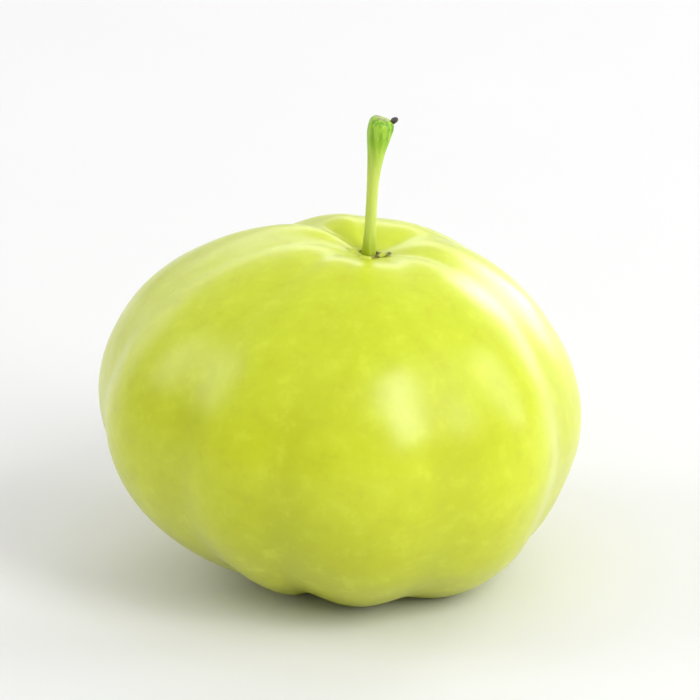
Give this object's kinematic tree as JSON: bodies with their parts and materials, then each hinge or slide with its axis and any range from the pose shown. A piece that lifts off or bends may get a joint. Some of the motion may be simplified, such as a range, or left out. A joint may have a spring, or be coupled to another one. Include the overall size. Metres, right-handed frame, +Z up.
{
  "type": "star gooseberry",
  "caption": "Whole star gooseberry: a squat, pale yellow-green fruit with rounded lobes, its slender stalk standing in the well on top.",
  "frame": {"origin": "middle of the fruit's outline, on the surface that it rests on", "axes": "+Z up, out of the well with the stalk; -Z is the outward normal of the flat spots underneath; +X is the side that the top leans to; -Y is the front"},
  "size_m": [0.024, 0.0241, 0.0235],
  "materials": {
    "fruit_skin": "smooth, waxy, slightly translucent fruit skin",
    "stalk": "fresh green stem tissue, satin",
    "sepals": "half dried sepals, dull"
  },
  "bodies": {
    "root": {"fruit": "fruit_skin", "stalk": "stalk", "sepals": "sepals"}
  },
  "joints": []
}
